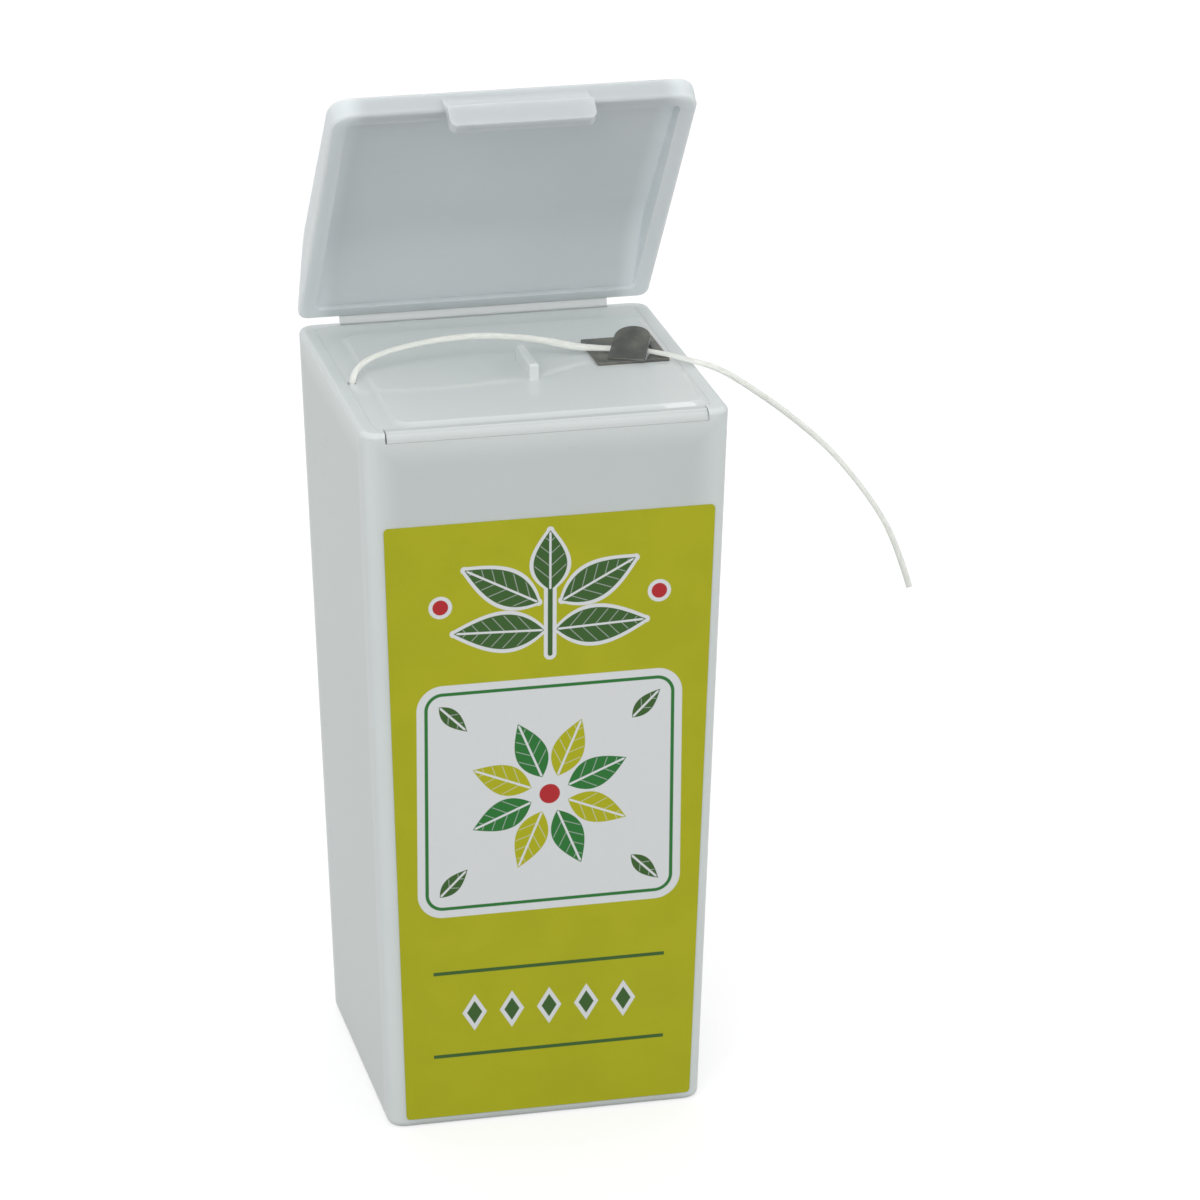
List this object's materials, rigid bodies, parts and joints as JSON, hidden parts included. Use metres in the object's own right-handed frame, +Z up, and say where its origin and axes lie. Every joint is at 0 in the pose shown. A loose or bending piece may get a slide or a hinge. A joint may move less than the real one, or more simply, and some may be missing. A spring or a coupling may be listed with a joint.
{
  "type": "dental floss dispenser",
  "caption": "Tall tapered plastic box with a flip lid on a living hinge, a floss outlet, guide fin and steel cutter on top, and a bobbin of floss that turns inside.",
  "frame": {"origin": "middle of the base, on the surface that it stands on", "axes": "+Z up, -Y is the front with the label and the lid's thumb tab, +X is the side with the cutter"},
  "size_m": [0.0666, 0.0414, 0.1196],
  "materials": {
    "milky_plastic": "satin, natural milky polypropylene",
    "insert_plastic": "glossy, natural milky polypropylene",
    "cutter_steel": "dark, thin stamped steel",
    "core_plastic": "plain moulded",
    "waxed_floss": "waxed multifilament",
    "label_film": "printed film"
  },
  "bodies": {
    "housing": {"body_shell": "milky_plastic", "living_hinge": "milky_plastic", "top_insert": "insert_plastic", "cutter_clip": "cutter_steel", "floss_lead": "waxed_floss", "floss_strand": "waxed_floss", "front_label": "label_film"},
    "lid": {"lid_shell": "milky_plastic"},
    "bobbin": {"spool_core": "core_plastic", "floss_winding": "waxed_floss"}
  },
  "joints": [
    {"name": "lid_hinge", "type": "hinge", "parent": "housing", "child": "lid", "pos_m": [0, 0.0202, 0.0861], "axis": [-1, 0, 0], "range_deg": [-51.3, 108], "deforming": ["living_hinge", "floss_strand"]},
    {"name": "spool_spin", "type": "hinge", "parent": "housing", "child": "bobbin", "pos_m": [0, 0, 0.0019], "axis": [0, 0, 1], "continuous": true}
  ]
}
